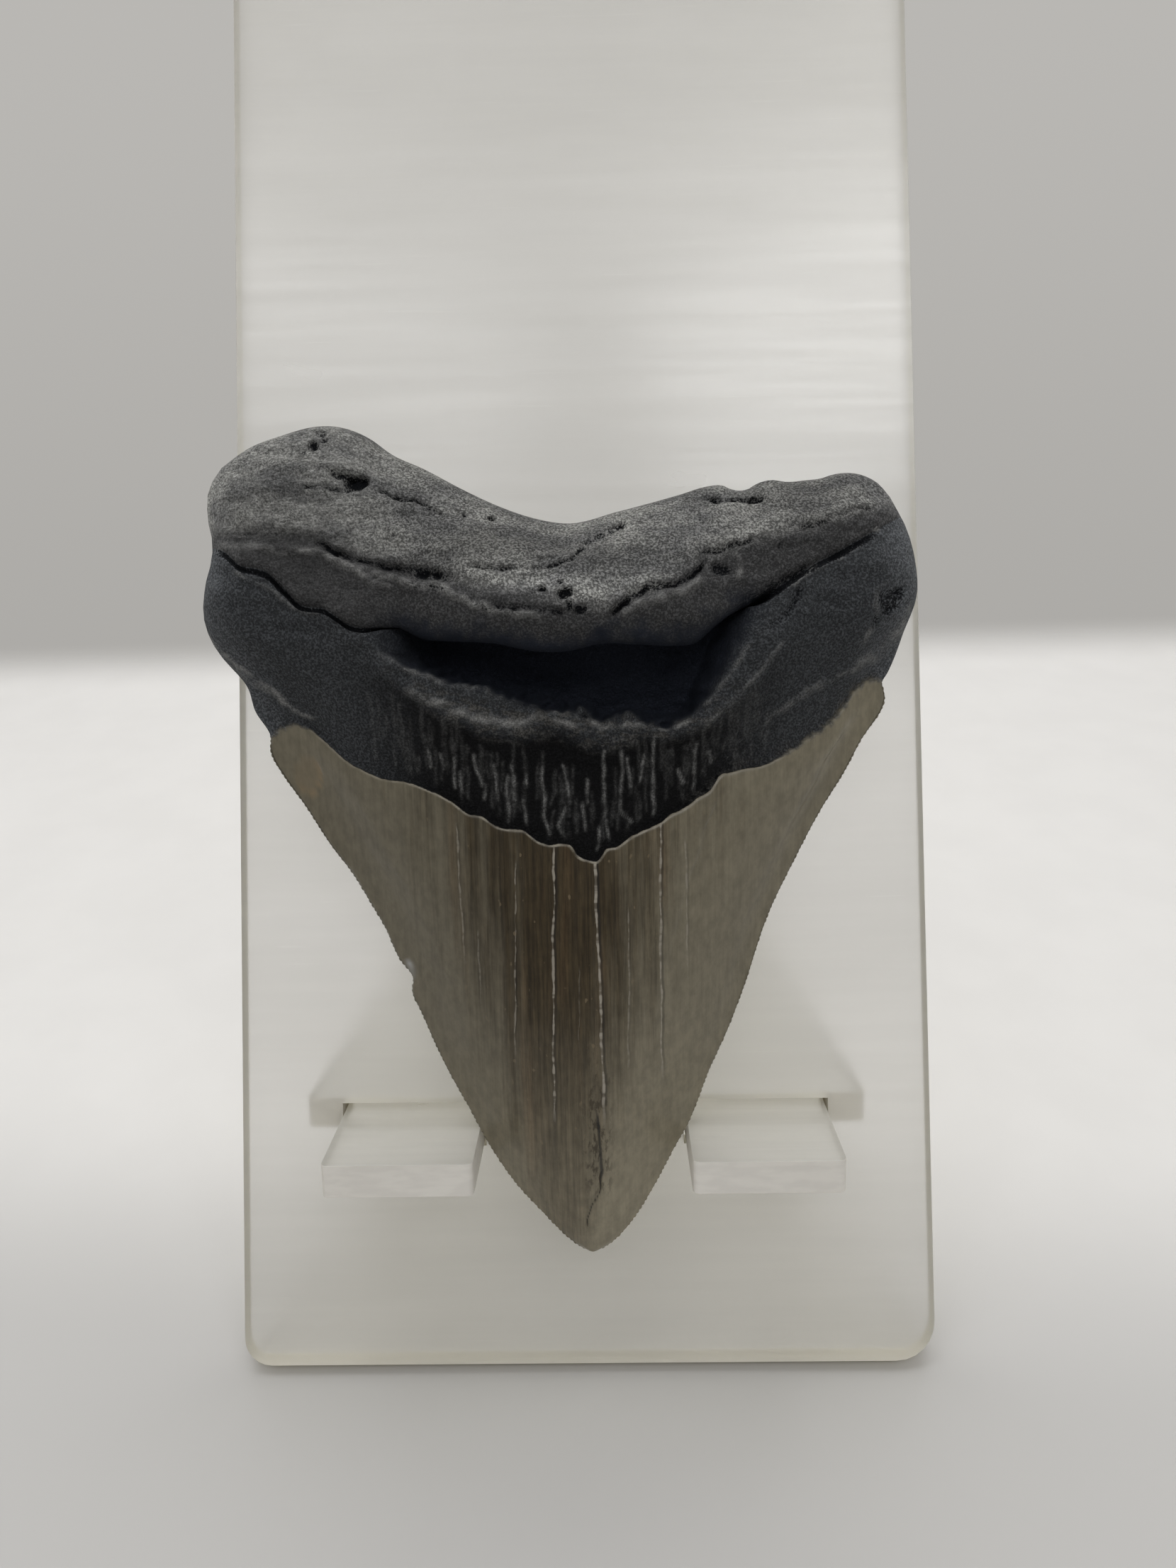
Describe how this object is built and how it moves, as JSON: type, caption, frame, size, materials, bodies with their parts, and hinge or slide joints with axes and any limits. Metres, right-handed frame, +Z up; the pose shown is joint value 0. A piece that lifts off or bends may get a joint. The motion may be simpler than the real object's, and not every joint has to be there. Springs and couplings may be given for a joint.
{
  "type": "fossil megalodon tooth on a clear stand",
  "caption": "Large triangular fossil shark tooth with a rough dark root and a smooth olive-brown crown, standing point down on a leaning clear plastic display stand.",
  "frame": {"origin": "on the table, under the middle of the whole object's box", "axes": "+Z up, +X to the viewer's right, -Y towards the viewer, so the tooth's front faces -Y and the panel leans back towards +Y"},
  "size_m": [0.1031, 0.1258, 0.1923],
  "materials": {
    "fossil_tooth": "matt charcoal root, glossy olive-brown crown",
    "clear_sheet": "clear acrylic sheet, faintly yellow-green, lightly scratched"
  },
  "bodies": {
    "root": {"tooth": "fossil_tooth", "stand_panel": "clear_sheet", "stand_prop": "clear_sheet"}
  },
  "joints": []
}
